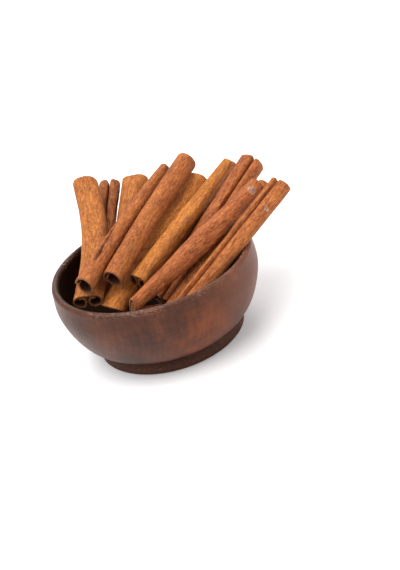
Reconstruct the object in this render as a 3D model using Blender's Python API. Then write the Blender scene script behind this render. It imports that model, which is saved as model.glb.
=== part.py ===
# Cinnamon sticks standing in a small turned wooden bowl.
# Frame: origin at the centre of the underside of the foot, +Z up, -Y the front of the bowl.
# Each stick is one strip of bark rolled up from one edge (single) or from both (double).

import math
from collections import namedtuple

import bmesh
import bpy
import numpy as np
from mathutils import Matrix

MM = 0.001

# Bowl, in millimetres: radii and heights of the turned shape.
BOWL_RADIUS = 57.6
BOWL_HEIGHT = 48.2
WIDEST_HEIGHT = 36.7
LIP_RADIUS = 2.1
LIP_LEAN = 0.8
FOOT_RADIUS = 42.0
FOOT_WAIST_RADIUS = 39.9
FOOT_HEIGHT = 6.8
FOOT_CHAMFER = 1.2
FLOOR_HEIGHT = 10.2
WALL = 4.2
BOWL_SIDES = 52
WALL_POINTS = 9

# Pulls of the bowl's curves: how full the belly is, outside and inside.
BELLY_START = (51.0, 9.1)
BELLY_RISE = 7.5
SHOULDER_RISE = 3.0
SHOULDER_LEAN = 0.2
INSIDE_DROP = 22.0
INSIDE_FLOOR_RADIUS = 36.0

# Bark, in millimetres.
BARK = 1.15
BARK_SHARE = 0.11
LAP_GAP = 0.45
SEAM_TURN = 0.16
CURL_REACH = 0.45
TOUCH_GAP = 0.35
RINGS = 5

# A single roll turns from 0 to SINGLE_TURN degrees. It drops under the lap between two angles,
# and then a little more, which leaves the inner edge free.
SINGLE_TURN = 470.0
SINGLE_POINTS = 24
LAP_START = 120.0
LAP_END = 360.0
INNER_DROP = 0.35

# A double roll, in degrees: half the strip, from the back round to the seam and curled in.
DOUBLE_TURNS = (-90, -60, -30, 0, 30, 60, 82, 120, 160, 200, 235, 270, 305)
SEAM_ANGLE = 90.0
CURL_ANGLE = 270.0
INWARD_SWEEP = 150.0

# Settling: spheres along the rolls of each stick are pushed apart until nothing touches.
SPHERES = 26
SPHERE_SLACK = 0.2
SETTLE_ROUNDS = 400
SETTLE_LIMIT = 0.01
REST_WEIGHT = 0.02

# One row for each stick, in millimetres and degrees: how many rolls, the lower and upper ends,
# the widths and thicknesses (lower, middle, upper), the seam angle (0 has the seam on top),
# the bow (up, sideways) and the slant of the upper cut.
Stick = namedtuple("Stick", "rolls lower upper widths thicknesses seam bow slant")
STICKS = (
    Stick(2, (-38.5, -19, 43.5), (-23.5, 72, 72.5), (16, 15, 14.8), (9, 9.5, 10.5), 188, (-3, -4), -0.5),
    Stick(2, (-35, -5, 36), (-10, 84, 61.5), (11, 11.4, 12.4), (7, 7, 7.5), 8, (0, 0), 0.5),
    Stick(2, (-24.5, -4, 28), (5.5, 75, 64), (13, 15, 15.8), (8.5, 9, 9.5), 180, (0, 0), -2.5),
    Stick(1, (-38, -21.5, 54), (24, 56, 73), (13.4, 10.8, 8.4), (10.6, 9.6, 7.8), -20, (0, 2), 0),
    Stick(1, (-23, -18, 51.5), (37, 56, 73.5), (11.6, 12.2, 13.2), (11, 10.8, 11.6), -110, (0, 1), 0),
    Stick(2, (-28, -17, 34), (41, 54, 62), (14, 12.4, 12), (10, 9.5, 9), 190, (0, 0), 1.5),
    Stick(2, (-10.5, -14.5, 43.5), (60, 50.5, 67.5), (10.3, 9.8, 6.2), (9.6, 9.2, 6.2), 200, (0, 0), 1),
    Stick(1, (-6.5, -4.5, 32), (64, 57, 62.5), (7.5, 7.2, 6.5), (7.5, 7, 6.5), 120, (0, 0), 0),
    Stick(2, (-1.5, -14.5, 28.5), (73.5, 42, 68), (12, 14, 16), (8.5, 9, 9.5), 6, (0, 0), 0.5),
    Stick(2, (-17, -32, 40), (69, 12.5, 66), (6.8, 12, 8.6), (6.5, 11.2, 8.6), 170, (0, -2), 1),
    Stick(2, (2.5, -46, 32.5), (80, 3, 66), (12, 12.8, 13), (8, 8, 8.5), 5, (0, 0), 1.5),
    Stick(1, (0, -31, 31.5), (73.5, 22, 60.5), (8, 8, 8), (8, 8, 8), 200, (0, 0), 0),
    Stick(2, (-36, -24, 27), (-3, -37, 24), (9, 9, 9), (9, 9, 9), 0, (0, 0), 1),
    Stick(2, (-33, -3, 19), (22, -13, 18), (11, 11, 11), (9, 9, 9), 170, (0, 0), -1),
)

# Linear colours: the bark from yellow-orange to red-brown, the bowl dark red-brown.
BARK_PALE = (0.50, 0.20, 0.055)
BARK_RED = (0.33, 0.105, 0.040)
BARK_REDNESS = (0.3, 0.6, 0.2, 0.6, 0.5, 0.1, 0.0, 0.5, 0.8, 0.9, 0.6, 0.5, 0.6, 0.6)
BOWL_COLOUR = (0.075, 0.025, 0.016)
BARK_ROUGHNESS = 0.75
BOWL_ROUGHNESS = 0.4


def clear_scene():
    for item in list(bpy.data.objects):
        bpy.data.objects.remove(item, do_unlink=True)


def make_material(name, colour, roughness):
    material = bpy.data.materials.new(name)
    material.use_nodes = True
    shader = material.node_tree.nodes["Principled BSDF"]
    shader.inputs["Base Color"].default_value = (*colour, 1.0)
    shader.inputs["Roughness"].default_value = roughness
    shader.inputs["Metallic"].default_value = 0.0
    return material


def add_object(name, mesh, material):
    mesh.materials.append(material)
    item = bpy.data.objects.new(name, mesh)
    bpy.context.scene.collection.objects.link(item)
    return item


def bezier(start, start_pull, end_pull, end, count):
    # Points of a cubic curve in the (radius, height) plane.
    steps = np.linspace(0.0, 1.0, count)[:, None]
    corners = [np.array(corner, float) for corner in (start, start_pull, end_pull, end)]
    weights = ((1 - steps) ** 3, 3 * steps * (1 - steps) ** 2, 3 * steps**2 * (1 - steps), steps**3)
    return sum(weight * corner for weight, corner in zip(weights, corners))


def lip_centre():
    return np.array((BOWL_RADIUS - LIP_LEAN - LIP_RADIUS, BOWL_HEIGHT - LIP_RADIUS))


def outer_wall():
    # From the waist above the foot, out to the widest line and in again to the lip.
    widest = (BOWL_RADIUS, WIDEST_HEIGHT)
    waist = (FOOT_WAIST_RADIUS, FOOT_HEIGHT)
    lower = bezier(waist, BELLY_START, (BOWL_RADIUS, WIDEST_HEIGHT - BELLY_RISE), widest, WALL_POINTS)
    lip = lip_centre() + np.array((LIP_RADIUS, 0.0))
    above_widest = (BOWL_RADIUS, WIDEST_HEIGHT + SHOULDER_RISE)
    below_lip = lip + (SHOULDER_LEAN, -SHOULDER_RISE)
    upper = bezier(widest, above_widest, below_lip, lip, 3)
    return np.vstack((lower, upper[1:]))


def inner_wall():
    # From the lip down to the middle of the floor.
    lip = lip_centre() - np.array((LIP_RADIUS, 0.0))
    floor = (0.0, FLOOR_HEIGHT)
    belly = (BOWL_RADIUS - WALL, WIDEST_HEIGHT - INSIDE_DROP)
    return bezier(lip, belly, (INSIDE_FLOOR_RADIUS, FLOOR_HEIGHT), floor, WALL_POINTS)


def bowl_profile():
    # The half outline, from the middle of the foot round the outside to the middle of the floor.
    foot = [(0.0, 0.0), (FOOT_RADIUS - FOOT_CHAMFER, 0.0), (FOOT_RADIUS, FOOT_CHAMFER)]
    angles = np.radians((45.0, 90.0, 135.0))
    lip = lip_centre() + LIP_RADIUS * np.column_stack((np.cos(angles), np.sin(angles)))
    return np.vstack((foot, outer_wall(), lip, inner_wall()))


def build_bowl():
    profile = bowl_profile() * MM
    shape = bmesh.new()
    for radius, height in profile:
        shape.verts.new((radius, 0.0, height))
    shape.verts.ensure_lookup_table()
    edges = [shape.edges.new(pair) for pair in zip(shape.verts[:-1], shape.verts[1:])]
    line = list(shape.verts) + edges
    bmesh.ops.spin(shape, geom=line, cent=(0, 0, 0), axis=(0, 0, 1), angle=math.tau, steps=BOWL_SIDES)
    bmesh.ops.remove_doubles(shape, verts=shape.verts, dist=0.00001)
    bmesh.ops.recalc_face_normals(shape, faces=shape.faces)
    mesh = bpy.data.meshes.new("bowl")
    shape.to_mesh(mesh)
    shape.free()
    mesh.shade_smooth()
    mesh.set_sharp_from_angle(angle=math.radians(40))
    return add_object("bowl", mesh, make_material("bowl wood", BOWL_COLOUR, BOWL_ROUGHNESS))


def ease(value):
    value = np.clip(value, 0.0, 1.0)
    return value * value * (3.0 - 2.0 * value)


def bark_at(width):
    # Thin rolls have thinner bark, which leaves room for the turns inside them.
    return min(BARK, BARK_SHARE * width)


def double_roll(width, thickness):
    # Middle line of a strip rolled in from both edges, the seam at +Y. Each half follows the oval
    # outline from the back round to the seam, turns in close to the middle and curls up inside.
    bark = bark_at(width)
    rise = thickness / 2 - bark / 2
    reach = width / 2 - bark / 2
    turn = SEAM_TURN * width
    drop = (bark + LAP_GAP) / rise
    angles = np.array(DOUBLE_TURNS, float)
    inward = ease((angles - SEAM_ANGLE) / INWARD_SWEEP)
    side = np.where(angles > SEAM_ANGLE, turn - bark / 2 - LAP_GAP / 2, reach - turn)
    side = np.where(angles > CURL_ANGLE, (reach - turn) * CURL_REACH, side)
    across = turn + side * np.cos(np.radians(angles))
    up = rise * np.sin(np.radians(angles)) * (1.0 - drop * inward)
    across[0] = 0.0
    right = np.column_stack((across, up))
    left = right[:0:-1] * (-1.0, 1.0)
    return np.vstack((left, right))


def single_roll(width, thickness):
    # Middle line of a strip rolled from one edge, with the outer edge of the lap at +Y.
    bark = bark_at(width)
    angles = np.linspace(0.0, SINGLE_TURN, SINGLE_POINTS)
    drop = ease((angles - LAP_START) / (LAP_END - LAP_START))
    drop += INNER_DROP * ease((angles - LAP_END) / (SINGLE_TURN - LAP_END))
    inset = bark / 2 + (bark + LAP_GAP) * drop
    turns = np.radians(angles + 90.0)
    across = (width / 2 - inset) * np.cos(turns)
    up = (thickness / 2 - inset) * np.sin(turns)
    return np.column_stack((across, up))


def strip_outline(middle, bark):
    # Both faces of the bark, half its thickness to each side of the middle line.
    along = np.gradient(middle, axis=0)
    along /= np.linalg.norm(along, axis=1)[:, None]
    normal = np.column_stack((along[:, 1], -along[:, 0])) * bark / 2
    return middle + normal, middle - normal


def shape_at(row, place):
    # Width, thickness and offset of the stick at a place from 0 (lower end) to 1 (upper end).
    knots = (0.0, 0.5, 1.0)
    width = np.interp(place, knots, row.widths)
    thickness = np.interp(place, knots, row.thicknesses)
    swell = 4.0 * place * (1.0 - place)
    return width, thickness, row.bow[0] * swell, row.bow[1] * swell


def stick_length(row):
    return math.dist(row.lower, row.upper)


def stick_mesh(name, row):
    # The stick stands on local Z with its seam turned from local +Y by the seam angle.
    roll = double_roll if row.rolls == 2 else single_roll
    length = stick_length(row)
    spin = math.radians(row.seam)
    shape = bmesh.new()
    rings = []
    for place in np.linspace(0.0, 1.0, RINGS):
        width, thickness, lift, drift = shape_at(row, place)
        ring = []
        for face in strip_outline(roll(width, thickness), bark_at(width)):
            lean = row.slant * face[:, 0] / width * 2.0 * ease((place - 0.5) / 0.5)
            x = face[:, 0] * math.cos(spin) - face[:, 1] * math.sin(spin) + drift
            y = face[:, 0] * math.sin(spin) + face[:, 1] * math.cos(spin) + lift
            z = (place - 0.5) * length + lean
            ring.append([shape.verts.new(point) for point in np.column_stack((x, y, z)) * MM])
        rings.append(ring)
    for lower, upper in zip(rings[:-1], rings[1:]):
        add_sleeve(shape, lower, upper)
    for ring in (rings[0], rings[-1]):
        for here in range(len(ring[0]) - 1):
            corners = (ring[0][here], ring[0][here + 1], ring[1][here + 1], ring[1][here])
            shape.faces.new(corners)
    bmesh.ops.recalc_face_normals(shape, faces=shape.faces)
    mesh = bpy.data.meshes.new(name)
    shape.to_mesh(mesh)
    shape.free()
    mesh.shade_smooth()
    mesh.set_sharp_from_angle(angle=math.radians(50))
    return mesh


def add_sleeve(shape, lower, upper):
    # The two faces and the two long edges of the bark between two rings.
    low = lower[0] + lower[1][::-1]
    high = upper[0] + upper[1][::-1]
    for here in range(len(low)):
        after = (here + 1) % len(low)
        shape.faces.new((low[here], low[after], high[after], high[here]))


def stick_frame(row):
    # Local Z runs up the stick and local Y is as near to straight up as it can be.
    lower = np.array(row.lower, float)
    upper = np.array(row.upper, float)
    along = (upper - lower) / np.linalg.norm(upper - lower)
    up = np.array((0.0, 0.0, 1.0)) - along[2] * along
    up /= np.linalg.norm(up)
    across = np.cross(up, along)
    return np.column_stack((across, up, along)), (lower + upper) / 2


def stick_spheres(row):
    # Centres and radii of the spheres that stand for the rolls of one stick.
    spin = math.radians(row.seam)
    length = stick_length(row)
    centres = []
    radii = []
    for place in np.linspace(0.0, 1.0, SPHERES):
        width, thickness, lift, drift = shape_at(row, place)
        radius = min(width, thickness) / 2
        apart = width / 2 - radius
        for side in (-apart, apart):
            x = side * math.cos(spin) + drift
            y = side * math.sin(spin) + lift
            centres.append((x, y, (place - 0.5) * length))
            radii.append(radius)
    return np.array(centres), np.array(radii)


def wall_push(points, radii):
    # How far each sphere has to move to clear the wall of the bowl.
    inner = inner_wall()
    ring = np.hypot(points[:, 0], points[:, 1])
    place = np.column_stack((ring, points[:, 2]))
    centre = lip_centre()
    away = place - centre
    distance = np.linalg.norm(away, axis=1)
    push = np.zeros_like(place)
    deep = LIP_RADIUS + radii + TOUCH_GAP - distance
    near_lip = (deep > 0) & (place[:, 1] > centre[1])
    push[near_lip] = (away / distance[:, None] * deep[:, None])[near_lip]
    below = place[:, 1] <= centre[1]
    nearest = np.full(len(place), np.inf)
    for start, end in zip(inner[:-1], inner[1:]):
        run = end - start
        span = np.clip((place - start) @ run / (run @ run), 0.0, 1.0)
        away = place - (start + span[:, None] * run)
        facing = np.array((run[1], -run[0])) / np.linalg.norm(run)
        clear = away @ facing
        distance = np.linalg.norm(away, axis=1)
        closer = below & (distance < nearest) & (ring < BOWL_RADIUS)
        nearest[closer] = distance[closer]
        deep = radii + TOUCH_GAP - clear
        push[closer] = np.where(deep > 0, deep, 0.0)[closer, None] * facing
    flat = points[:, :2] / np.maximum(ring, 1e-6)[:, None]
    return np.column_stack((flat * push[:, :1], push[:, 1]))


def pair_push(points, radii, owner):
    # How far each sphere has to move to clear the spheres of the other sticks.
    apart = points[:, None] - points[None]
    distance = np.linalg.norm(apart, axis=2)
    deep = radii[:, None] + radii[None] + TOUCH_GAP - distance
    touching = (owner[:, None] != owner[None]) & (deep > 0)
    share = np.where(touching, deep / np.maximum(distance, 1e-6) / 2, 0.0)
    worst = share * distance
    strongest = worst.argmax(axis=1)
    rows = np.arange(len(points))
    return apart[rows, strongest] * share[rows, strongest][:, None]


def best_turn(before, after, weight):
    # The rotation and the shift that carry one set of points closest to another.
    total = weight.sum()
    middle_before = (before * weight[:, None]).sum(axis=0) / total
    middle_after = (after * weight[:, None]).sum(axis=0) / total
    spread = ((before - middle_before) * weight[:, None]).T @ (after - middle_after)
    left, _, right = np.linalg.svd(spread)
    flip = np.diag((1.0, 1.0, np.sign(np.linalg.det(right.T @ left.T))))
    turn = right.T @ flip @ left.T
    return turn, middle_after - turn @ middle_before


def settle(rows):
    # Moves the sticks as stiff bodies until they clear each other and the bowl.
    frames = [stick_frame(row) for row in rows]
    balls = [stick_spheres(row) for row in rows]
    owner = np.concatenate([np.full(len(ball[1]), index) for index, ball in enumerate(balls)])
    radii = np.concatenate([ball[1] for ball in balls]) + SPHERE_SLACK
    points = np.vstack([ball[0] @ frame[0].T + frame[1] for ball, frame in zip(balls, frames)])
    for step in range(SETTLE_ROUNDS):
        push = pair_push(points, radii, owner) + wall_push(points, radii)
        size = np.linalg.norm(push, axis=1)
        if size.max() < SETTLE_LIMIT:
            break
        for index, (turn, centre) in enumerate(frames):
            mine = owner == index
            weight = REST_WEIGHT + (size[mine] > 0)
            if size[mine].max() == 0:
                continue
            more, shift = best_turn(points[mine], points[mine] + push[mine], weight)
            frames[index] = (more @ turn, more @ centre + shift)
            points[mine] = balls[index][0] @ frames[index][0].T + frames[index][1]
    print("settled after", step, "rounds, deepest touch", round(float(size.max()), 3))
    return frames


def build_sticks():
    frames = settle(STICKS)
    for number, row in enumerate(STICKS, 1):
        name = f"stick_{number:02d}"
        redness = BARK_REDNESS[number - 1]
        colour = [pale + (red - pale) * redness for pale, red in zip(BARK_PALE, BARK_RED)]
        bark = make_material(name + " bark", colour, BARK_ROUGHNESS)
        item = add_object(name, stick_mesh(name, row), bark)
        turn, centre = frames[number - 1]
        item.matrix_world = Matrix.Translation(centre * MM) @ Matrix(turn.tolist()).to_4x4()


clear_scene()
build_bowl()
build_sticks()
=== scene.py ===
import math

import bpy
import numpy as np
from mathutils import Matrix, Vector, noise


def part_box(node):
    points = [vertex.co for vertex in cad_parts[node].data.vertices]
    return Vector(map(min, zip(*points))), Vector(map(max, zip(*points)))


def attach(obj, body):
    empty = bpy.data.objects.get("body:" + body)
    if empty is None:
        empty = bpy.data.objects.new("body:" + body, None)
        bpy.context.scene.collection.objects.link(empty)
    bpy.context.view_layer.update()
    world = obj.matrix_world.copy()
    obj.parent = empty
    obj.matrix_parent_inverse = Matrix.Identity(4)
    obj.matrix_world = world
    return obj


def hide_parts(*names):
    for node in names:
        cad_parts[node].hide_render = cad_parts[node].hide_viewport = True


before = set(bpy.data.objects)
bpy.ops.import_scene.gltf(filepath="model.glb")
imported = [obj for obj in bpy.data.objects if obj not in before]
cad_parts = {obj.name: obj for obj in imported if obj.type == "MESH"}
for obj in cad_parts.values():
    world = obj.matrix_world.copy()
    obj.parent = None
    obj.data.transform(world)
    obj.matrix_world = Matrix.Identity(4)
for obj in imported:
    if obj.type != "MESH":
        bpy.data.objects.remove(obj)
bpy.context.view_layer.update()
mm = 0.001
print("frame loaded,", len(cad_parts), "nodes")


# Small helpers for node trees

def addNode(tree, kind, inputs=None, **settings):
    made = tree.nodes.new(kind)
    for name, value in settings.items():
        setattr(made, name, value)
    for key, value in (inputs or {}).items():
        plug(tree, made.inputs[key], value)
    return made


def plug(tree, socket, value):
    if isinstance(value, bpy.types.NodeSocket):
        tree.links.new(value, socket)
    else:
        socket.default_value = value


def calc(tree, operation, *values, clamp=False):
    made = addNode(tree, "ShaderNodeMath", dict(enumerate(values)), operation=operation)
    made.use_clamp = clamp
    return made.outputs[0]


def vectorCalc(tree, operation, *values):
    inputs = dict(enumerate(values))
    if operation == "SCALE":
        inputs = {0: values[0], 3: values[1]}
    return addNode(tree, "ShaderNodeVectorMath", inputs, operation=operation).outputs[0]


def remap(tree, value, low, high, newLow=0.0, newHigh=1.0):
    # smooth step from low..high to newLow..newHigh
    inputs = {0: value, 1: low, 2: high, 3: newLow, 4: newHigh}
    made = addNode(tree, "ShaderNodeMapRange", inputs, interpolation_type="SMOOTHSTEP")
    return made.outputs[0]


def blendVector(tree, factor, first, second):
    return addNode(tree, "ShaderNodeMix", {0: factor, 4: first, 5: second}, data_type="VECTOR").outputs[1]


def blendColour(tree, factor, first, second, kind="MIX"):
    made = addNode(tree, "ShaderNodeMix", {0: factor, 6: first, 7: second}, data_type="RGBA")
    made.blend_type = kind
    return made.outputs[2]


def noiseOf(tree, vector, seed, detail=2.0, roughness=0.5, scale=1.0, distortion=0.0):
    inputs = {"Vector": vector, "W": seed, "Scale": scale, "Detail": detail,
              "Roughness": roughness, "Distortion": distortion}
    return addNode(tree, "ShaderNodeTexNoise", inputs, noise_dimensions="4D").outputs[0]


def smoothStep(value):
    value = np.clip(value, 0.0, 1.0)
    return value * value * (3.0 - 2.0 * value)


# The bark sheet. Sizes are in millimetres here and turned into metres where they are used.

barkSheet = {
    "thickness": 1.1,        # of a wide stick
    "thicknessShare": 0.105,  # of the width, for a thin stick
    "lapGap": 0.35,
    "meshStep": 0.72,        # distance between two points of the sheet
    "edgePoints": 3,
    "sectionPoints": 200,
    "sharpAngle": 48.0,
    "wrinkles": 0.20,        # depth of the lengthwise wrinkles
    "grit": 0.12,            # depth of the finest unevenness
    "dents": 0.42,           # depth of the broad dents
    "ragged": 0.7,           # how far the cut ends are frayed
}

# One entry for each stick: how many rolls, where the seam lies (0 is on top, in degrees),
# how wide each roll's turn is at the seam and the first roll's share of the width, how far the
# inner edges curl, how yellow or red the bark is, how light its colours are made (its own tone,
# and for some sticks painted light or painted shade), how much wider than the CAD stick it is in mm,
# how each end is cut (across, over and as a gable, in mm), a fold as two places on the sheet and
# its depth in mm, and a scar or knot as (around, along, radius in mm, height in mm).
stickLooks = {
    "stick_01": {"rolls": 2, "seam": 188, "turn": 0.17, "curl": 300, "warm": 0.32, "seed": 1.0,
                 "upperCut": (0.0, -0.6, -0.8)},
    # stick_02's light of 0.80 is painted shade, for the shadow stick_01 casts on it
    "stick_02": {"rolls": 2, "seam": 8, "turn": 0.16, "curl": 330, "warm": 0.75, "light": 0.80,
                 "plump": 1.0, "seed": 2.0, "fold": (0.33, 0.66, 0.33, 0.99, 2.0)},
    "stick_03": {"rolls": 2, "seam": 180, "turn": 0.17, "curl": 300, "warm": 0.30, "light": 0.94,
                 "plump": 0.6, "seed": 3.0},
    "stick_04": {"rolls": 1, "seam": -72, "curl": 372, "warm": 0.66, "seed": 4.0,
                 "fold": (0.28, 0.11, 0.15, 0.52, 2.3), "knot": (0.30, 0.60, 9.0, 1.5)},
    "stick_05": {"rolls": 1, "seam": -110, "curl": 425, "warm": 0.60, "plump": 0.5, "seed": 5.0},
    # stick_06's light of 1.22 is painted light, making up for the shade of stick_05 over it
    "stick_06": {"rolls": 2, "seam": 190, "turn": 0.17, "curl": 290, "warm": 0.15, "light": 1.22,
                 "plump": 0.6, "seed": 6.0, "lowerCut": (0.0, 3.0, 0.0)},
    "stick_07": {"rolls": 2, "seam": 200, "turn": 0.18, "curl": 300, "warm": 0.05, "light": 1.08,
                 "seed": 7.0},
    "stick_08": {"rolls": 1, "seam": 120, "curl": 430, "warm": 0.35, "seed": 8.0},
    "stick_09": {"rolls": 2, "seam": 24, "turn": 0.11, "share": 0.60, "curl": 320, "warm": 0.80, "seed": 9.0,
                 "upperCut": (0.3, 0.0, -1.6)},
    "stick_10": {"rolls": 2, "seam": 170, "turn": 0.2, "curl": 250, "warm": 0.85, "light": 1.05,
                 "seed": 10.0, "lowerCut": (0.0, -2.2, 0.0), "scar": (0.62, 0.925, 3.4)},
    "stick_11": {"rolls": 2, "seam": 8, "turn": 0.15, "share": 0.42, "curl": 330, "warm": 0.62, "seed": 11.0,
                 "scar": (0.30, 0.80, 1.6)},
    "stick_12": {"rolls": 1, "seam": 200, "curl": 430, "warm": 0.60, "seed": 12.0},
    "stick_13": {"rolls": 2, "seam": 0, "turn": 0.18, "curl": 300, "warm": 0.60, "seed": 13.0},
    "stick_14": {"rolls": 2, "seam": 170, "turn": 0.18, "curl": 300, "warm": 0.60, "seed": 14.0},
}


def mergedPoints(node):
    # The corners of a CAD node, each once.
    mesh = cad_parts[node].data
    points = np.empty(len(mesh.vertices) * 3, np.float32)
    mesh.vertices.foreach_get("co", points)
    return np.unique(points.reshape(-1, 3).round(7), axis=0).astype(float)


def readSpine(node, seam):
    # Stations along a stick: centre, half width and half thickness, in the seam's own directions.
    points = mergedPoints(node)
    middle = points.mean(axis=0)
    along = np.linalg.svd(points - middle, full_matrices=False)[2][0]
    along = along * np.sign(along[2] if abs(along[2]) > 0.1 else along[0])
    up = np.array((0.0, 0.0, 1.0)) - along[2] * along
    up /= np.linalg.norm(up)
    side = np.cross(up, along)
    spin = math.radians(seam)
    across = side * math.cos(spin) + up * math.sin(spin)
    over = up * math.cos(spin) - side * math.sin(spin)
    local = (points - middle) @ np.column_stack((across, over, along))
    local = local[local[:, 2].argsort()]
    breaks = np.where(np.diff(local[:, 2]) > 6 * mm)[0] + 1
    stations = []
    for ring in np.split(local, breaks):
        low = ring.min(axis=0)
        high = ring.max(axis=0)
        centre = middle + (low + high) / 2 @ np.vstack((across, over, along))
        stations.append((centre, (high[0] - low[0]) / 2, (high[1] - low[1]) / 2))
    return stations, across, over


def halfRoll(width, thickness, bark, look):
    # One side of a double roll, from the middle of the back round to the curled-in edge.
    angles = np.linspace(-90.0, look["curl"], barkSheet["sectionPoints"] // 2)
    rise = thickness / 2 - bark / 2
    reach = width - bark / 2
    turn = look["turn"] * 2 * width
    gap = barkSheet["lapGap"]
    drop = (bark + gap) / rise
    outerSide = reach - turn
    innerSide = turn - bark / 2 - gap / 2
    curlSide = max(reach - turn - bark - gap, 0.8)
    inward = smoothStep((angles - 90.0) / 150.0)
    further = np.clip((angles - 270.0) / 130.0, 0.0, 1.0)
    side = np.where(angles > 90.0, innerSide, outerSide)
    side = np.where(angles > 270.0, curlSide * (1.0 - 0.45 * further), side)
    x = turn + side * np.cos(np.radians(angles))
    y = rise * np.sin(np.radians(angles)) * (1.0 - drop * inward) * (1.0 - 0.45 * further)
    x[0] = 0.0
    return np.column_stack((x, y))


def doubleSection(width, thickness, bark, look):
    # Middle line of a sheet rolled in from both edges, from one curl round to the other.
    share = look.get("share", 0.5)
    right = halfRoll(width * share, thickness, bark, look)
    left = halfRoll(width * (1.0 - share), thickness, bark, look)
    return np.vstack((left[:0:-1] * (-1.0, 1.0), right))


def singleSection(width, thickness, bark, look):
    # Middle line of a sheet rolled from one edge, its outer edge at the seam.
    angles = np.linspace(0.0, look["curl"], barkSheet["sectionPoints"])
    gap = barkSheet["lapGap"]
    drop = smoothStep((angles - 120.0) / 240.0) + 0.8 * smoothStep((angles - 360.0) / 160.0)
    inset = bark / 2 + (bark + gap) * drop
    turns = np.radians(angles + 90.0)
    x = (width / 2 - inset) * np.cos(turns)
    y = (thickness / 2 - inset) * np.sin(turns)
    return np.column_stack((x, y))


def fittedSection(width, thickness, bark, look):
    # The section scaled and centred so that its outer face has the measured size.
    roll = doubleSection if look["rolls"] == 2 else singleSection
    flat = roll(width, thickness, bark, look)
    low = flat.min(axis=0)
    high = flat.max(axis=0)
    size = np.array((width, thickness)) - bark
    return (flat - (low + high) / 2) / (high - low) * size


def lineObject(name, points, vectors=None):
    # A chain of points, with optional vectors stored on them.
    mesh = bpy.data.meshes.new(name)
    mesh.from_pydata([tuple(point) for point in points], [(i, i + 1) for i in range(len(points) - 1)], [])
    for label, values in (vectors or {}).items():
        stored = mesh.attributes.new(label, "FLOAT_VECTOR", "POINT")
        stored.data.foreach_set("vector", np.array(values, np.float32).ravel())
    made = bpy.data.objects.new(name, mesh)
    bpy.context.scene.collection.objects.link(made)
    return made


rollInputs = (
    ("Lower Section", "NodeSocketObject"), ("Upper Section", "NodeSocketObject"),
    ("Bark Material", "NodeSocketMaterial"),
    ("Around Points", "NodeSocketInt"), ("Along Points", "NodeSocketInt"), ("Edge Points", "NodeSocketInt"),
    ("Bark Thickness", "NodeSocketFloat"), ("Strip Width", "NodeSocketFloat"), ("Length", "NodeSocketFloat"),
    ("Wrinkles", "NodeSocketFloat"), ("Grit", "NodeSocketFloat"),
    ("Dents", "NodeSocketFloat"), ("Ragged", "NodeSocketFloat"), ("Seed", "NodeSocketFloat"),
    ("Knot Place", "NodeSocketVector"), ("Knot Radius", "NodeSocketFloat"),
    ("Knot Height", "NodeSocketFloat"),
    ("Scar Place", "NodeSocketVector"), ("Scar Radius", "NodeSocketFloat"),
    ("Lower Cut", "NodeSocketVector"), ("Upper Cut", "NodeSocketVector"),
    ("Fold Start", "NodeSocketVector"), ("Fold End", "NodeSocketVector"), ("Fold Depth", "NodeSocketFloat"),
)


def spotMask(tree, sheetPlace, width, length, place, radius):
    # 1 in the middle of a roundish spot on the sheet, 0 from its radius on
    centre = vectorCalc(tree, "MULTIPLY", place, combine(tree, width, length, 0.0))
    wobble = addNode(tree, "ShaderNodeTexNoise",
                     {"Vector": sheetPlace, "Scale": 700.0, "Detail": 2.0}).outputs[1]
    wobble = vectorCalc(tree, "SCALE", vectorCalc(tree, "SUBTRACT", wobble, (0.5, 0.5, 0.5)), 2.2 * mm)
    sheetPlace = vectorCalc(tree, "ADD", sheetPlace, wobble)
    away = addNode(tree, "ShaderNodeVectorMath", {0: sheetPlace, 1: centre}, operation="DISTANCE")
    share = calc(tree, "DIVIDE", away.outputs["Value"], calc(tree, "MAXIMUM", radius, 0.00001))
    return remap(tree, share, 0.0, 1.0, 1.0, 0.0)


def foldMask(tree, sheetPlace, width, length, start, end, reach):
    # 1 on a straight line between two places on the sheet, fading out sideways and at its ends
    scale = combine(tree, width, length, 0.0)
    first = vectorCalc(tree, "MULTIPLY", start, scale)
    way = vectorCalc(tree, "SUBTRACT", vectorCalc(tree, "MULTIPLY", end, scale), first)
    offset = vectorCalc(tree, "SUBTRACT", sheetPlace, first)
    across = addNode(tree, "ShaderNodeVectorMath", {0: offset, 1: way},
                     operation="DOT_PRODUCT").outputs["Value"]
    size = addNode(tree, "ShaderNodeVectorMath", {0: way, 1: way}, operation="DOT_PRODUCT").outputs["Value"]
    share = calc(tree, "DIVIDE", across, calc(tree, "MAXIMUM", size, 0.000001), clamp=True)
    nearest = vectorCalc(tree, "SCALE", way, share)
    away = addNode(tree, "ShaderNodeVectorMath", {0: offset, 1: nearest},
                   operation="DISTANCE").outputs["Value"]
    rise = remap(tree, share, 0.0, 0.3)
    fall = remap(tree, share, 0.7, 1.0, 1.0, 0.0)
    return calc(tree, "MULTIPLY", remap(tree, away, 0.0, reach, 1.0, 0.0),
                calc(tree, "MULTIPLY", rise, fall))


def combine(tree, x, y, z):
    return addNode(tree, "ShaderNodeCombineXYZ", {0: x, 1: y, 2: z}).outputs[0]


def storeAttribute(tree, geometry, name, value, kind):
    made = addNode(tree, "GeometryNodeStoreNamedAttribute", data_type=kind, domain="POINT")
    plug(tree, made.inputs["Geometry"], geometry)
    made.inputs["Name"].default_value = name
    plug(tree, made.inputs["Value"], value)
    return made.outputs[0]


def sampleLine(tree, curve, factor, attribute=None):
    made = addNode(tree, "GeometryNodeSampleCurve", data_type="FLOAT_VECTOR", mode="FACTOR")
    made.use_all_curves = False
    plug(tree, made.inputs["Curves"], curve)
    plug(tree, made.inputs["Factor"], factor)
    if attribute:
        named = addNode(tree, "GeometryNodeInputNamedAttribute", {"Name": attribute},
                        data_type="FLOAT_VECTOR")
        plug(tree, made.inputs["Value"], named.outputs[0])
    return made


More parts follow.
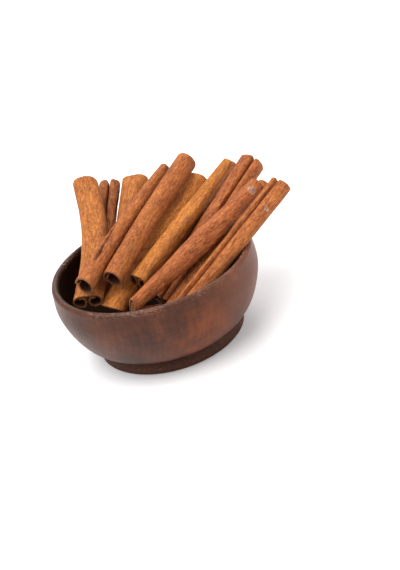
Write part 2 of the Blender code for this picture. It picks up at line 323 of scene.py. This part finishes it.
def sectionLine(tree, chosen):
    info = addNode(tree, "GeometryNodeObjectInfo", {"Object": chosen}, transform_space="ORIGINAL")
    return addNode(tree, "GeometryNodeMeshToCurve", {"Mesh": info.outputs["Geometry"]}).outputs[0]


def makeRollTree():
    tree = bpy.data.node_groups.new("rolled bark", "GeometryNodeTree")
    tree.interface.new_socket("Geometry", in_out="INPUT", socket_type="NodeSocketGeometry")
    for name, kind in rollInputs:
        tree.interface.new_socket(name, in_out="INPUT", socket_type=kind)
    tree.interface.new_socket("Geometry", in_out="OUTPUT", socket_type="NodeSocketGeometry")
    given = addNode(tree, "NodeGroupInput").outputs
    seed = given["Seed"]
    width = given["Strip Width"]
    length = given["Length"]

    # a flat sheet: x runs round the roll, y along the stick, z through the bark
    counts = {"Vertices X": given["Around Points"], "Vertices Y": given["Along Points"],
              "Vertices Z": given["Edge Points"], "Size": (1.0, 1.0, 1.0)}
    sheet = addNode(tree, "GeometryNodeMeshCube", counts).outputs["Mesh"]
    place = addNode(tree, "GeometryNodeInputPosition").outputs[0]
    parts = addNode(tree, "ShaderNodeSeparateXYZ", {0: place}).outputs
    around = calc(tree, "ADD", parts[0], 0.5)
    along = calc(tree, "ADD", parts[1], 0.5)
    through = parts[2]
    sheetPlace = combine(tree, calc(tree, "MULTIPLY", around, width),
                         calc(tree, "MULTIPLY", along, length), 0.0)

    # where the sheet goes: the spine's frame, and the rolled section at both ends
    spine = addNode(tree, "GeometryNodeMeshToCurve", {"Mesh": given["Geometry"]}).outputs[0]
    spine = addNode(tree, "GeometryNodeCurveSplineType", {"Curve": spine},
                    spline_type="CATMULL_ROM").outputs[0]
    onSpine = sampleLine(tree, spine, along)
    forward = onSpine.outputs["Tangent"]
    axes = [sampleLine(tree, spine, along, label).outputs["Value"] for label in ("across", "over")]
    lower = sampleLine(tree, sectionLine(tree, given["Lower Section"]), around)
    upper = sampleLine(tree, sectionLine(tree, given["Upper Section"]), around)
    change = remap(tree, along, 0.0, 1.0)
    onRoll = blendVector(tree, change, lower.outputs["Position"], upper.outputs["Position"])
    rollWay = blendVector(tree, change, lower.outputs["Tangent"], upper.outputs["Tangent"])

    def inFrame(flat):
        pair = addNode(tree, "ShaderNodeSeparateXYZ", {0: flat}).outputs
        first = vectorCalc(tree, "SCALE", axes[0], pair[0])
        return vectorCalc(tree, "ADD", first, vectorCalc(tree, "SCALE", axes[1], pair[1]))

    outward = vectorCalc(tree, "NORMALIZE", vectorCalc(tree, "CROSS_PRODUCT", inFrame(rollWay), forward))

    # relief: lengthwise wrinkles, broad dents, grit and a knot
    def sheetNoise(aroundSize, alongSize, detail, shift):
        scales = (1.0 / (aroundSize * mm), 1.0 / (alongSize * mm), 1.0)
        return noiseOf(tree, vectorCalc(tree, "MULTIPLY", sheetPlace, scales),
                       calc(tree, "ADD", seed, shift), detail)

    def centred(value, depth):
        return calc(tree, "MULTIPLY", calc(tree, "SUBTRACT", value, 0.5), depth)

    outside = remap(tree, through, -0.5, 0.5, 0.35, 1.0)
    wrinkle = centred(sheetNoise(1.5, 16.0, 3.0, 0.3), calc(tree, "MULTIPLY", given["Wrinkles"], 2.0))
    crossing = centred(sheetNoise(7.0, 1.7, 2.0, 5.3), calc(tree, "MULTIPLY", given["Wrinkles"], 0.9))
    grit = centred(sheetNoise(0.9, 1.3, 2.0, 9.1), calc(tree, "MULTIPLY", given["Grit"], 2.0))
    dent = centred(sheetNoise(8.0, 17.0, 1.0, 3.7), calc(tree, "MULTIPLY", given["Dents"], 2.0))
    fine = calc(tree, "MULTIPLY", calc(tree, "ADD", calc(tree, "ADD", wrinkle, crossing), grit), outside)
    knot = spotMask(tree, sheetPlace, width, length, given["Knot Place"], given["Knot Radius"])
    knotWave = sheetNoise(2.6, 2.8, 1.0, 2.2)
    knotLift = calc(tree, "MULTIPLY", calc(tree, "MULTIPLY", knot, knotWave), given["Knot Height"])
    lift = calc(tree, "ADD", calc(tree, "ADD", fine, dent), knotLift)
    meander = calc(tree, "MULTIPLY", calc(tree, "SUBTRACT", sheetNoise(20.0, 5.0, 1.0, 7.7), 0.5), 2.4 * mm)
    bent = vectorCalc(tree, "ADD", sheetPlace, combine(tree, meander, 0.0, 0.0))
    fold = foldMask(tree, bent, width, length, given["Fold Start"], given["Fold End"], 1.5 * mm)
    lift = calc(tree, "SUBTRACT", lift, calc(tree, "MULTIPLY", fold, given["Fold Depth"]))
    lift = calc(tree, "SUBTRACT", lift, calc(tree, "MULTIPLY", given["Dents"], 0.25))
    lift = calc(tree, "ADD", lift, calc(tree, "MULTIPLY", through, given["Bark Thickness"]))

    # the cut ends are frayed
    fray = noiseOf(tree, vectorCalc(tree, "SCALE", sheetPlace, 450.0),
                   calc(tree, "ADD", seed, 6.6), 3.0, 0.65)
    wave = noiseOf(tree, vectorCalc(tree, "SCALE", sheetPlace, 85.0), calc(tree, "ADD", seed, 8.4), 1.0)
    fray = calc(tree, "MULTIPLY", calc(tree, "ADD", fray, wave), given["Ragged"])
    fromLow = calc(tree, "MULTIPLY", along, length)
    fromHigh = calc(tree, "SUBTRACT", length, fromLow)
    reach = 7.0 * mm
    shiftLow = calc(tree, "MULTIPLY", remap(tree, fromLow, 0.0, reach, 1.0, 0.0), fray)
    shiftHigh = calc(tree, "MULTIPLY", remap(tree, fromHigh, 0.0, reach, 1.0, 0.0), fray)
    shift = calc(tree, "SUBTRACT", shiftLow, shiftHigh)
    flat = addNode(tree, "ShaderNodeSeparateXYZ", {0: onRoll}).outputs
    slopes = combine(tree, flat[0], flat[1], calc(tree, "ABSOLUTE", flat[0]))
    for cut, away in (("Lower Cut", fromLow), ("Upper Cut", fromHigh)):
        slope = addNode(tree, "ShaderNodeVectorMath", {0: slopes, 1: given[cut]}, operation="DOT_PRODUCT")
        near = remap(tree, away, 0.0, 14.0 * mm, 1.0, 0.0)
        shift = calc(tree, "ADD", shift, calc(tree, "MULTIPLY", slope.outputs["Value"], near))

    final = vectorCalc(tree, "ADD", onSpine.outputs["Position"], inFrame(onRoll))
    final = vectorCalc(tree, "ADD", final, vectorCalc(tree, "SCALE", outward, lift))
    final = vectorCalc(tree, "ADD", final, vectorCalc(tree, "SCALE", forward, shift))

    # what the material needs to know about each place on the sheet
    toEnd = calc(tree, "MINIMUM", fromLow, fromHigh)
    toSide = calc(tree, "MULTIPLY",
                  calc(tree, "MINIMUM", around, calc(tree, "SUBTRACT", 1.0, around)), width)
    scar = spotMask(tree, sheetPlace, width, length, given["Scar Place"], given["Scar Radius"])
    geometry = sheet
    geometry = storeAttribute(tree, geometry, "sheetPlace", sheetPlace, "FLOAT_VECTOR")
    geometry = storeAttribute(tree, geometry, "innerFace", calc(tree, "SUBTRACT", 0.5, through), "FLOAT")
    geometry = storeAttribute(tree, geometry, "toCut", calc(tree, "MINIMUM", toEnd, toSide), "FLOAT")
    geometry = storeAttribute(tree, geometry, "scar", calc(tree, "MAXIMUM", scar, 0.0), "FLOAT")
    relief = calc(tree, "SUBTRACT", calc(tree, "ADD", wrinkle, grit), calc(tree, "MULTIPLY", fold, 0.5 * mm))
    geometry = storeAttribute(tree, geometry, "relief", relief, "FLOAT")
    geometry = addNode(tree, "GeometryNodeSetPosition", {"Geometry": geometry, "Position": final}).outputs[0]
    geometry = addNode(tree, "GeometryNodeRealizeInstances", {"Geometry": geometry}).outputs[0]
    finish = addNode(tree, "GeometryNodeSetMaterial",
                     {"Geometry": geometry, "Material": given["Bark Material"]})
    addNode(tree, "NodeGroupOutput", {0: finish.outputs[0]})
    return tree


def setInput(modifier, tree, name, value):
    for item in tree.interface.items_tree:
        if item.item_type == "SOCKET" and item.in_out == "INPUT" and item.name == name:
            modifier[item.identifier] = value


def makeStick(name, tree, material):
    look = stickLooks[name]
    stations, across, over = readSpine(name, look["seam"])
    centres = np.array([station[0] for station in stations])
    length = float(np.linalg.norm(np.diff(centres, axis=0), axis=1).sum())
    vectors = {"across": [across * station[1] for station in stations],
               "over": [over * station[2] for station in stations]}
    spine = lineObject(name + " spine", centres, vectors)
    widest = max(station[1] for station in stations) * 2 / mm
    bark = min(barkSheet["thickness"], barkSheet["thicknessShare"] * widest)
    plump = look.get("plump", 0.3)
    sections = []
    strip = 0.0
    for station in (stations[0], stations[-1]):
        width = station[1] * 2 / mm + plump
        thickness = station[2] * 2 / mm + plump
        flat = fittedSection(width, thickness, bark, look)
        strip = max(strip, float(np.linalg.norm(np.diff(flat, axis=0), axis=1).sum()))
        flat = np.column_stack((flat / (station[1] / mm, station[2] / mm), np.zeros(len(flat))))
        sections.append(lineObject(name + " section", flat))
    knot = look.get("knot", (0.0, 0.0, 0.0, 0.0))
    scar = look.get("scar", (0.0, 0.0, 0.0))
    fold = look.get("fold", (0.0, 0.0, 0.0, 0.0, 0.0))
    values = {
        "Lower Section": sections[0], "Upper Section": sections[1], "Bark Material": material,
        "Around Points": round(strip / barkSheet["meshStep"]),
        "Along Points": round(length / mm / barkSheet["meshStep"]),
        "Edge Points": barkSheet["edgePoints"],
        "Bark Thickness": bark * mm, "Strip Width": strip * mm, "Length": length,
        "Wrinkles": barkSheet["wrinkles"] * mm, "Grit": barkSheet["grit"] * mm,
        "Dents": look.get("dents", barkSheet["dents"]) * mm,
        "Ragged": barkSheet["ragged"] * mm, "Seed": look["seed"] * 7.0,
        "Knot Place": (knot[0], knot[1], 0.0), "Knot Radius": knot[2] * mm, "Knot Height": knot[3] * mm,
        "Scar Place": (scar[0], scar[1], 0.0), "Scar Radius": scar[2] * mm,
        "Fold Start": (fold[0], fold[1], 0.0), "Fold End": (fold[2], fold[3], 0.0),
        "Fold Depth": fold[4] * mm,
    }
    for end in ("lowerCut", "upperCut"):
        label = "Lower Cut" if end == "lowerCut" else "Upper Cut"
        values[label] = tuple(part * mm for part in look.get(end, (0.0, 0.0, 0.0)))
    modifier = spine.modifiers.new("roll", "NODES")
    modifier.node_group = tree
    for label, value in values.items():
        setInput(modifier, tree, label, value)
    stick = bakeModifiers(spine, name + "_bark")
    for helper in (spine, *sections):
        bpy.data.objects.remove(helper, do_unlink=True)
    stick.data.shade_smooth()
    stick.data.set_sharp_from_angle(angle=math.radians(barkSheet["sharpAngle"]))
    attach(stick, "root")
    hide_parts(name)
    return stick


def bakeModifiers(item, name):
    graph = bpy.context.evaluated_depsgraph_get()
    mesh = bpy.data.meshes.new_from_object(item.evaluated_get(graph), depsgraph=graph)
    mesh.name = name
    made = bpy.data.objects.new(name, mesh)
    bpy.context.scene.collection.objects.link(made)
    item.modifiers.clear()
    return made


# Bark material: streaks and flecks follow the sheet, so they run along each stick.

barkColours = {
    "paleYellow": (0.56, 0.205, 0.036, 1.0),
    "paleRed": (0.46, 0.130, 0.036, 1.0),
    "deepYellow": (0.23, 0.060, 0.010, 1.0),
    "deepRed": (0.145, 0.030, 0.010, 1.0),
    "dash": (0.055, 0.013, 0.005, 1.0),
    "fleck": (0.66, 0.29, 0.085, 1.0),
    "violet": (0.15, 0.042, 0.024, 1.0),
    # inside: the inner bark's own darker brown, made near black as painted shade inside the rolls
    "inside": (0.045, 0.013, 0.006, 1.0),
    "cut": (0.24, 0.105, 0.045, 1.0),
    "scar": (0.17, 0.105, 0.085, 1.0),
    "scarEdge": (0.48, 0.33, 0.25, 1.0),
}


def fadeColour(first, second, share):
    return tuple(a + (b - a) * share for a, b in zip(first, second))


def makeBark(name, look):
    material = bpy.data.materials.new(name)
    material.use_nodes = True
    tree = material.node_tree
    shader = tree.nodes["Principled BSDF"]
    seed = look["seed"] * 3.0
    place = addNode(tree, "ShaderNodeAttribute", attribute_name="sheetPlace").outputs["Vector"]
    inner = addNode(tree, "ShaderNodeAttribute", attribute_name="innerFace").outputs["Fac"]
    toCut = addNode(tree, "ShaderNodeAttribute", attribute_name="toCut").outputs["Fac"]
    scar = addNode(tree, "ShaderNodeAttribute", attribute_name="scar").outputs["Fac"]
    relief = addNode(tree, "ShaderNodeAttribute", attribute_name="relief").outputs["Fac"]

    def sheetNoise(aroundSize, alongSize, detail, shift, roughness=0.55, distortion=0.0):
        scaled = vectorCalc(tree, "MULTIPLY", place, (1.0 / (aroundSize * mm), 1.0 / (alongSize * mm), 1.0))
        return noiseOf(tree, scaled, seed + shift, detail, roughness, 1.0, distortion)

    # light scales the bark colours: partly each stick's own tone, partly painted light and painted shade
    light = look.get("light", 1.0)
    pale = fadeColour(barkColours["paleYellow"], barkColours["paleRed"], look["warm"])
    deep = fadeColour(barkColours["deepYellow"], barkColours["deepRed"], look["warm"])
    pale = (pale[0] * light, pale[1] * light, pale[2] * light, 1.0)
    deep = (deep[0] * light, deep[1] * light, deep[2] * light, 1.0)
    broad = remap(tree, sheetNoise(8.0, 20.0, 2.0, 0.0), 0.34, 0.66)
    streak = remap(tree, sheetNoise(0.9, 7.0, 3.0, 1.1, 0.6, 0.5), 0.38, 0.62)
    mottle = remap(tree, sheetNoise(1.1, 2.8, 3.0, 2.3, 0.6, 1.4), 0.40, 0.60)
    tone = calc(tree, "ADD", calc(tree, "MULTIPLY", broad, 0.24), calc(tree, "MULTIPLY", streak, 0.32))
    tone = calc(tree, "ADD", tone, calc(tree, "MULTIPLY", mottle, 0.44))
    colour = blendColour(tree, tone, pale, deep)
    violet = remap(tree, sheetNoise(6.0, 13.0, 3.0, 12.0), 0.52, 0.70, 0.0, 0.55)
    colour = blendColour(tree, violet, colour, barkColours["violet"])
    fleck = remap(tree, sheetNoise(0.8, 4.5, 4.0, 4.7, 0.7, 0.8), 0.54, 0.70, 0.0, 0.55)
    colour = blendColour(tree, fleck, colour, barkColours["fleck"])
    dash = remap(tree, sheetNoise(0.7, 6.0, 4.0, 6.1, 0.7, 0.8), 0.55, 0.72, 0.0, 0.65)
    colour = blendColour(tree, dash, colour, barkColours["dash"])
    # painted shade: the bark is darkened in its wrinkle and fold valleys, where shade falls
    paintedCreaseShade = remap(tree, relief, -0.20 * mm, -0.03 * mm, 0.60, 0.0)
    colour = blendColour(tree, paintedCreaseShade, colour, barkColours["dash"])
    scarTone = remap(tree, sheetNoise(0.8, 0.8, 2.0, 14.0), 0.42, 0.58)
    scarColour = blendColour(tree, scarTone, barkColours["scar"], barkColours["scarEdge"])
    colour = blendColour(tree, remap(tree, scar, 0.10, 0.50, 0.0, 0.70), colour, scarColour)
    scarLine = remap(tree, calc(tree, "ABSOLUTE", calc(tree, "SUBTRACT", scar, 0.38)), 0.0, 0.16, 0.5, 0.0)
    colour = blendColour(tree, scarLine, colour, barkColours["scarEdge"])
    # the inner face of the sheet: its own darker brown, deepened into painted shade inside the rolls
    darkInsideAndPaintedShade = remap(tree, inner, 0.55, 1.0, 0.0, 0.9)
    colour = blendColour(tree, darkInsideAndPaintedShade, colour, barkColours["inside"])
    rim = remap(tree, toCut, 0.0, 0.7 * mm, 0.75, 0.0)
    rim = calc(tree, "MULTIPLY", rim, remap(tree, sheetNoise(0.7, 0.7, 3.0, 8.8), 0.3, 0.6, 0.35, 1.0))
    colour = blendColour(tree, rim, colour, barkColours["cut"])
    plug(tree, shader.inputs["Base Color"], colour)
    rough = remap(tree, mottle, 0.0, 1.0, 0.62, 0.82)
    plug(tree, shader.inputs["Roughness"], rough)
    shader.inputs["Specular IOR Level"].default_value = 0.24
    height = calc(tree, "ADD", calc(tree, "MULTIPLY", mottle, 0.5), calc(tree, "MULTIPLY", streak, 0.5))
    height = calc(tree, "ADD", height, sheetNoise(0.35, 1.1, 2.0, 3.3))
    height = calc(tree, "SUBTRACT", height, dash)
    bump = addNode(tree, "ShaderNodeBump", {"Strength": 0.9, "Distance": 0.28 * mm, "Height": height})
    plug(tree, shader.inputs["Normal"], bump.outputs[0])
    return material


rollTree = makeRollTree()
for stickName in sorted(stickLooks):
    stickMaterial = makeBark(stickName + " bark", stickLooks[stickName])
    made = makeStick(stickName, rollTree, stickMaterial)
    print("rolled", made.name, len(made.data.polygons), "faces")
bpy.data.node_groups.remove(rollTree)


# The bowl, turned from its profile. Sizes are in mm; the widest radius and the rim height are the CAD
# bowl's.

bowlPlan = {
    "footRadius": 42.0, "waistRadius": 39.9, "footHeight": 6.8, "footRound": 1.2,
    "widestHeight": 36.7, "lipRadius": 2.1, "lipLean": 0.8, "wall": 4.2, "floorHeight": 10.2,
    "sides": 256,
    "uneven": 0.16,   # depth of the hand-finished unevenness
    "toolLines": 0.02,
}


def bezier(start, startPull, endPull, end, count):
    steps = np.linspace(0.0, 1.0, count)[:, None]
    corners = [np.array(corner, float) for corner in (start, startPull, endPull, end)]
    weights = ((1 - steps) ** 3, 3 * steps * (1 - steps) ** 2, 3 * steps**2 * (1 - steps), steps**3)
    return sum(weight * corner for weight, corner in zip(weights, corners))


def arc(centre, radius, start, end, count):
    angles = np.radians(np.linspace(start, end, count))
    return np.array(centre) + radius * np.column_stack((np.cos(angles), np.sin(angles)))


def bowlProfile(radius, height):
    # Half outline in (radius, height), from the middle of the foot round the outside to the floor.
    plan = bowlPlan
    waist = (plan["waistRadius"], plan["footHeight"])
    widest = (radius, plan["widestHeight"])
    lip = np.array((radius - plan["lipLean"] - plan["lipRadius"], height - plan["lipRadius"]))
    lipOut = lip + (plan["lipRadius"], 0.0)
    lipIn = lip - (plan["lipRadius"], 0.0)
    footCentre = (plan["footRadius"] - plan["footRound"], plan["footRound"])
    foot = arc(footCentre, plan["footRound"], -90.0, 0.0, 6)
    edge = bezier(foot[-1], foot[-1] + (0.0, 2.2), (waist[0] + 0.9, waist[1] - 1.6), waist, 8)
    base = np.column_stack((np.linspace(0.0, footCentre[0], 12), np.zeros(12)))
    belly = bezier(waist, (51.0, waist[1] + 2.3), (radius, widest[1] - 7.5), widest, 46)
    shoulder = bezier(widest, (radius, widest[1] + 3.0), lipOut + (0.2, -3.0), lipOut, 12)
    top = arc(lip, plan["lipRadius"], 0.0, 180.0, 14)
    inside = bezier(lipIn, (radius - plan["wall"], widest[1] - 22.0), (36.0, plan["floorHeight"]),
                    (0.0, plan["floorHeight"]), 60)
    return np.vstack((base, foot[1:], edge[1:], belly[1:], shoulder[1:], top[1:], inside[1:]))


def makeBowl():
    low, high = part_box("bowl")
    profile = bowlProfile(high.x / mm, high.z / mm)
    sides = bowlPlan["sides"]
    points = []
    for radius, height in profile[1:-1]:
        for turn in range(sides):
            angle = math.tau * turn / sides
            flat = Vector((radius * math.cos(angle), radius * math.sin(angle), height))
            wave = noise.noise(flat * 0.045) * bowlPlan["uneven"] if height > 0.5 else 0.0
            line = math.sin(height * 5.5) * bowlPlan["toolLines"] if height > 8.0 else 0.0
            lean = 1.0 - (0.3 + abs(wave) + abs(line)) / max(radius, 8.0) if height > 0.5 else 1.0
            points.append((flat.x * lean * mm, flat.y * lean * mm, height * mm))
    faces = []
    rings = len(profile) - 2
    for ring in range(rings - 1):
        for turn in range(sides):
            after = (turn + 1) % sides
            first = ring * sides
            faces.append((first + turn, first + after, first + sides + after, first + sides + turn))
    bottom = len(points)
    points.append((0.0, 0.0, profile[0][1] * mm))
    points.append((0.0, 0.0, profile[-1][1] * mm))
    last = (rings - 1) * sides
    for turn in range(sides):
        after = (turn + 1) % sides
        faces.append((bottom, after, turn))
        faces.append((bottom + 1, last + turn, last + after))
    mesh = bpy.data.meshes.new("bowl_turned")
    mesh.from_pydata(points, [], faces)
    mesh.materials.append(makeBowlWood())
    mesh.shade_smooth()
    bowl = bpy.data.objects.new("bowl_turned", mesh)
    bpy.context.scene.collection.objects.link(bowl)
    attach(bowl, "root")
    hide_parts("bowl")
    return bowl


bowlColours = {
    "dark": (0.037, 0.0115, 0.0060, 1.0),
    "mid": (0.074, 0.0225, 0.0100, 1.0),
    # light: pale wood tone, also used as painted light on the bowl's right side
    "light": (0.165, 0.050, 0.0200, 1.0),
    "orange": (0.23, 0.048, 0.009, 1.0),
    "wear": (0.34, 0.19, 0.13, 1.0),
    "fleck": (0.20, 0.080, 0.040, 1.0),
    # inside: painted shade for the bowl's inner wall and floor
    "inside": (0.020, 0.008, 0.005, 1.0),
}


def makeBowlWood():
    material = bpy.data.materials.new("bowl wood")
    material.use_nodes = True
    tree = material.node_tree
    shader = tree.nodes["Principled BSDF"]
    place = addNode(tree, "ShaderNodeTexCoord").outputs["Object"]
    parts = addNode(tree, "ShaderNodeSeparateXYZ", {0: place}).outputs

    def grainNoise(x, y, z, detail, seed, roughness=0.55, distortion=0.0):
        scaled = vectorCalc(tree, "MULTIPLY", place, (1 / (x * mm), 1 / (y * mm), 1 / (z * mm)))
        return noiseOf(tree, scaled, seed, detail, roughness, 1.0, distortion)

    # growth rings round a nearly upright heart that lies under the right side
    offset = vectorCalc(tree, "SUBTRACT", place, (0.030, -0.022, 0.0))
    squashed = vectorCalc(tree, "MULTIPLY", offset, (1.0, 0.8, 0.22))
    away = addNode(tree, "ShaderNodeVectorMath", {0: squashed}, operation="LENGTH").outputs["Value"]
    warp = grainNoise(22.0, 22.0, 34.0, 4.0, 4.0, 0.6)
    away = calc(tree, "ADD", away, calc(tree, "MULTIPLY", warp, 0.014))
    rings = calc(tree, "SINE", calc(tree, "MULTIPLY", away, 2300.0))
    rings = remap(tree, rings, -1.0, 1.0)
    fibre = remap(tree, grainNoise(0.6, 0.6, 5.0, 4.0, 1.5, 0.65, 0.4), 0.30, 0.70)
    across = remap(tree, grainNoise(9.0, 9.0, 0.8, 4.0, 2.5, 0.65, 0.4), 0.32, 0.68)
    cloud = remap(tree, grainNoise(14.0, 14.0, 20.0, 3.0, 7.0), 0.32, 0.70)
    tone = calc(tree, "ADD", calc(tree, "MULTIPLY", rings, 0.10), calc(tree, "MULTIPLY", fibre, 0.22))
    tone = calc(tree, "ADD", tone, calc(tree, "MULTIPLY", across, 0.22))
    tone = calc(tree, "ADD", tone, calc(tree, "MULTIPLY", cloud, 0.48))
    # painted light: the right side is made paler for the fill light falling on it
    paintedLightRight = remap(tree, parts[0], 0.012, 0.052, 0.0, 0.60)
    colour = blendColour(tree, remap(tree, tone, 0.1, 0.62), bowlColours["dark"], bowlColours["mid"])
    # pale grain where the tone is high, plus the painted light on the right side
    paleGrainAndPaintedLight = calc(tree, "ADD", remap(tree, tone, 0.55, 0.95, 0.0, 0.6), paintedLightRight)
    colour = blendColour(tree, paleGrainAndPaintedLight, colour, bowlColours["light"])
    patch = addNode(tree, "ShaderNodeVectorMath", {0: place, 1: (0.016, -0.052, 0.022)},
                    operation="DISTANCE")
    patchShare = remap(tree, patch.outputs["Value"], 0.004, 0.026, 0.75, 0.0)
    patchShare = calc(tree, "MULTIPLY", patchShare, remap(tree, tone, 0.25, 0.7, 0.4, 1.0))
    colour = blendColour(tree, patchShare, colour, bowlColours["orange"])
    pores = remap(tree, grainNoise(0.5, 0.5, 3.0, 2.0, 9.0), 0.62, 0.72, 0.0, 0.6)
    colour = blendColour(tree, pores, colour, bowlColours["dark"])

    # the foot is darker and speckled; the inside is painted nearly black as painted shade
    footShare = remap(tree, parts[2], 6.2 * mm, 7.6 * mm, 0.6, 0.0)
    colour = blendColour(tree, footShare, colour, bowlColours["dark"])
    speckle = remap(tree, grainNoise(0.8, 0.8, 0.8, 2.0, 3.0), 0.56, 0.68, 0.0, 0.55)
    speckle = calc(tree, "MULTIPLY", speckle, remap(tree, parts[2], 6.2 * mm, 7.6 * mm, 1.0, 0.0))
    colour = blendColour(tree, speckle, colour, bowlColours["fleck"])
    flatPlace = vectorCalc(tree, "MULTIPLY", place, (1.0, 1.0, 0.0))
    radius = addNode(tree, "ShaderNodeVectorMath", {0: flatPlace}, operation="LENGTH").outputs["Value"]
    normal = addNode(tree, "ShaderNodeNewGeometry").outputs["Normal"]
    facing = addNode(tree, "ShaderNodeVectorMath", {0: flatPlace, 1: normal}, operation="DOT_PRODUCT")
    facing = calc(tree, "DIVIDE", facing.outputs["Value"], calc(tree, "MAXIMUM", radius, 0.001))
    # painted shade on the inward-facing wall and floor of the bowl
    darkInsideAndPaintedShade = calc(tree, "MULTIPLY", remap(tree, facing, -0.25, 0.15, 0.85, 0.0),
                       remap(tree, parts[2], 7.2 * mm, 9.2 * mm))
    colour = blendColour(tree, darkInsideAndPaintedShade, colour, bowlColours["inside"])

    # the rim is worn in light scratches
    atRim = remap(tree, parts[2], 44.7 * mm, 47.2 * mm)
    worn = remap(tree, grainNoise(1.6, 1.6, 0.5, 3.0, 11.0, 0.7), 0.50, 0.64)
    wornWhere = remap(tree, grainNoise(22.0, 22.0, 30.0, 1.0, 15.0), 0.44, 0.62, 0.15, 1.0)
    wear = calc(tree, "MULTIPLY", calc(tree, "MULTIPLY", atRim, worn),
                calc(tree, "MULTIPLY", wornWhere, 0.7))
    colour = blendColour(tree, wear, colour, bowlColours["wear"])
    plug(tree, shader.inputs["Base Color"], colour)
    rough = calc(tree, "ADD", remap(tree, fibre, 0.0, 1.0, 0.38, 0.50), calc(tree, "MULTIPLY", wear, 0.3))
    rough = calc(tree, "ADD", rough, calc(tree, "MULTIPLY", footShare, 0.35))
    plug(tree, shader.inputs["Roughness"], rough)
    shader.inputs["Specular IOR Level"].default_value = 0.16
    shader.inputs["Coat Weight"].default_value = 0.08
    shader.inputs["Coat Roughness"].default_value = 0.28
    height = calc(tree, "ADD", fibre, calc(tree, "MULTIPLY", cloud, 0.8))
    height = calc(tree, "SUBTRACT", height, calc(tree, "MULTIPLY", pores, 0.8))
    bump = addNode(tree, "ShaderNodeBump", {"Strength": 0.20, "Distance": 0.12 * mm, "Height": height})
    plug(tree, shader.inputs["Normal"], bump.outputs[0])
    return material


bowlPiece = makeBowl()
print("turned the bowl,", len(bowlPiece.data.polygons), "faces")


# Floor, light and camera

studio = {
    "floorSize": 6.0,
    "floorColour": (0.90, 0.90, 0.91, 1.0),
    "world": 0.62,
    "key": {"place": (-0.40, -0.15, 0.95), "size": 1.30, "power": 16.0},
    "fill": {"place": (0.90, -0.25, 0.65), "size": 0.90, "power": 5.0},
    "back": {"place": (0.10, 0.85, 0.70), "size": 0.70, "power": 3.5},
}

cameraPlan = {
    "target": (0.0, 0.0, 0.0262),
    "distance": 0.60,
    "elevation": 28.46,
    "roll": 17.09,
    "aimSide": 0.0220,   # the bowl stands left of the middle
    "aimUp": 0.0039,
    "lens": 68.2,
}


def makeFloor():
    half = studio["floorSize"] / 2
    mesh = bpy.data.meshes.new("floor")
    corners = [(-half, -half, 0.0), (half, -half, 0.0), (half, half, 0.0), (-half, half, 0.0)]
    mesh.from_pydata(corners, [], [(0, 1, 2, 3)])
    material = bpy.data.materials.new("floor")
    material.use_nodes = True
    shader = material.node_tree.nodes["Principled BSDF"]
    shader.inputs["Base Color"].default_value = studio["floorColour"]
    shader.inputs["Roughness"].default_value = 0.55
    mesh.materials.append(material)
    floor = bpy.data.objects.new("floor", mesh)
    bpy.context.scene.collection.objects.link(floor)


def makeLight(name, plan):
    lamp = bpy.data.lights.new(name, "AREA")
    lamp.shape = "DISK"
    lamp.size = plan["size"]
    lamp.energy = plan["power"]
    item = bpy.data.objects.new(name, lamp)
    item.location = plan["place"]
    away = Vector(plan["place"]) - Vector(cameraPlan["target"])
    item.rotation_euler = away.to_track_quat("Z", "Y").to_euler()
    bpy.context.scene.collection.objects.link(item)


def makeWorld():
    world = bpy.data.worlds.new("studio")
    world.use_nodes = True
    background = world.node_tree.nodes["Background"]
    background.inputs["Color"].default_value = (1.0, 1.0, 1.0, 1.0)
    background.inputs["Strength"].default_value = studio["world"]
    bpy.context.scene.world = world
    bpy.context.scene.view_settings.view_transform = "Standard"


def makeCamera():
    rise = math.radians(cameraPlan["elevation"])
    roll = math.radians(cameraPlan["roll"])
    forward = Vector((0.0, math.cos(rise), -math.sin(rise)))
    side = Vector((1.0, 0.0, 0.0))
    up = side.cross(forward)
    rolledSide = side * math.cos(roll) - up * math.sin(roll)
    rolledUp = side * math.sin(roll) + up * math.cos(roll)
    target = Vector(cameraPlan["target"])
    place = target - forward * cameraPlan["distance"]
    aim = target + rolledSide * cameraPlan["aimSide"] + rolledUp * cameraPlan["aimUp"]
    look = (aim - place).normalized()
    rolledUp = (rolledUp - look * rolledUp.dot(look)).normalized()
    lens = bpy.data.cameras.new("camera")
    lens.lens = cameraPlan["lens"]
    lens.sensor_width = 36.0
    lens.clip_start = 0.01
    camera = bpy.data.objects.new("camera", lens)
    camera.matrix_world = Matrix((look.cross(rolledUp), rolledUp, -look)).transposed().to_4x4()
    camera.location = place
    bpy.context.scene.collection.objects.link(camera)
    bpy.context.scene.camera = camera


makeFloor()
for lightName in ("key", "fill", "back"):
    makeLight(lightName, studio[lightName])
makeWorld()
makeCamera()
print("floor, lights and camera are in place")
